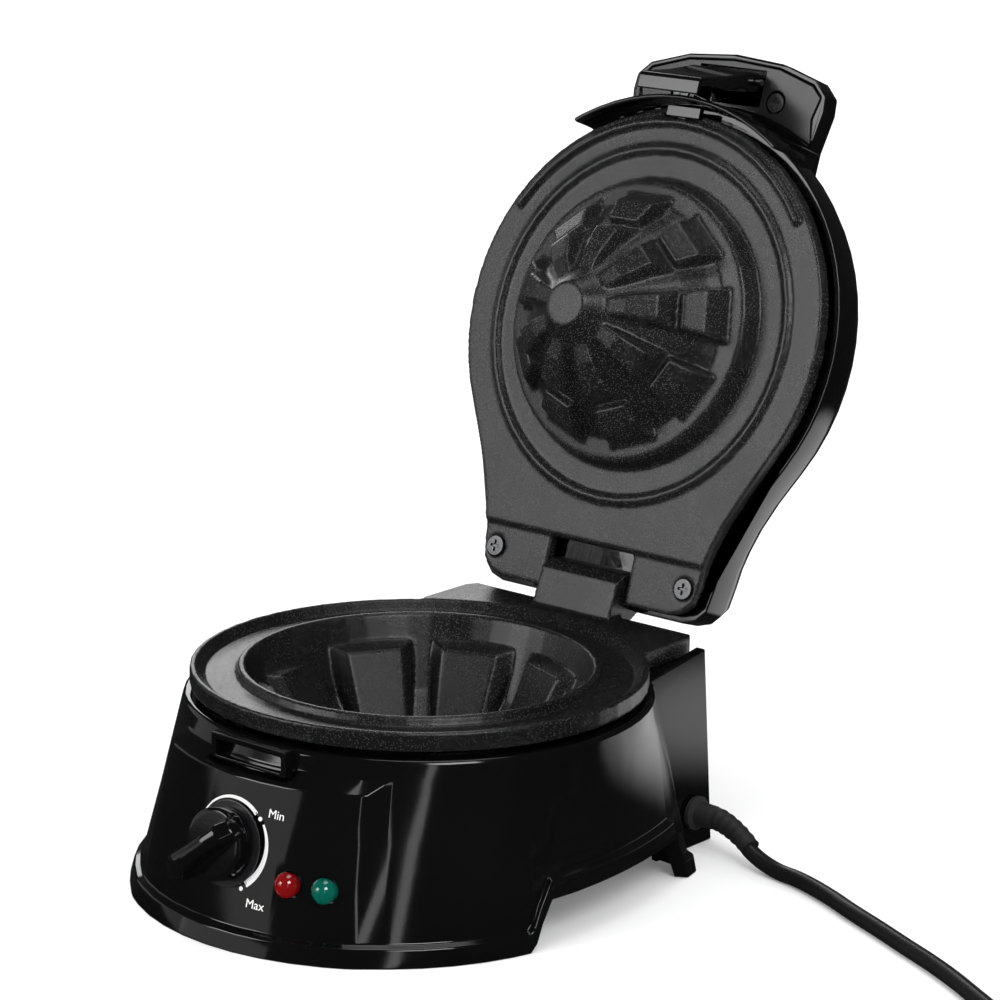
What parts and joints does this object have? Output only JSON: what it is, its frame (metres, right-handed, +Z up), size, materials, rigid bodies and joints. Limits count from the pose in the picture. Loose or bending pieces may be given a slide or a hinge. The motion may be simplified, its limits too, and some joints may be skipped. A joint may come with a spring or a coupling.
{
  "type": "donut maker",
  "caption": "Countertop electric donut and waffle-bowl maker: round body with one ribbed cavity, hinged lid with a domed ribbed plate, latch, heat knob and two lamps.",
  "frame": {"origin": "on the table, under the centre of the box round the appliance with its lid open and without its cord", "axes": "+Z up, +Y to the rear (hinge side), +X to the right seen from the front"},
  "size_m": [0.443, 0.3366, 0.3036],
  "materials": {
    "gloss_black": "piano-black gloss moulding",
    "satin_black": "satin black",
    "inner_plastic": "matt heat-resistant black",
    "nonstick": "dark speckled non-stick coating on cast aluminium",
    "steel": "plain steel",
    "zinc": "zinc plated",
    "rubber": "black rubber",
    "red_lens": "translucent red",
    "green_lens": "translucent green",
    "cord": "smooth black PVC",
    "brass": "brass blades"
  },
  "bodies": {
    "base": {"base_housing": "gloss_black", "bottom_cover": "inner_plastic", "foot_1": "rubber", "foot_2": "rubber", "foot_3": "rubber", "foot_4": "rubber", "cover_screw_1": "zinc", "cover_screw_2": "zinc", "cover_screw_3": "zinc", "cover_screw_4": "zinc", "lower_plate": "nonstick", "lower_heater": "steel", "lower_reflector": "zinc", "hinge_pin": "steel", "latch_keeper": "gloss_black", "knob_bezel": "satin_black", "thermostat_body": "zinc", "red_lens": "red_lens", "green_lens": "green_lens", "red_lamp": "inner_plastic", "green_lamp": "inner_plastic", "cord_gland": "rubber", "cord": "cord", "cord_coil": "cord", "cord_tail": "cord", "plug_body": "rubber", "plug_blade_1": "brass", "plug_blade_2": "brass"},
    "lid": {"upper_plate": "nonstick", "lid_screw_1": "zinc", "lid_screw_2": "zinc", "plate_clip": "gloss_black", "upper_heater": "steel", "lid_housing": "gloss_black", "handle_cover": "satin_black", "handle_screw_1": "zinc", "handle_screw_2": "zinc", "latch_pin": "steel", "latch_spring": "steel"},
    "latch": {"latch": "gloss_black"},
    "knob": {"knob": "gloss_black", "thermostat_shaft": "brass"}
  },
  "joints": [
    {"name": "lid_hinge", "type": "hinge", "parent": "base", "child": "lid", "pos_m": [0, 0.06964, 0.0916], "axis": [1, 0, 0], "range_deg": [0, 107.8]},
    {"name": "latch_pivot", "type": "hinge", "parent": "lid", "child": "latch", "pos_m": [0, 0.15149, 0.29386], "axis": [1, 0, 0], "range_deg": [-20, 0], "stiffness_Nm_per_rad": 0.05, "springref_deg": 11.46},
    {"name": "knob_turn", "type": "hinge", "parent": "base", "child": "knob", "pos_m": [0.0005, -0.14746, 0.0367], "axis": [0, 0.9736, -0.2283], "range_deg": [0, 287]}
  ]
}
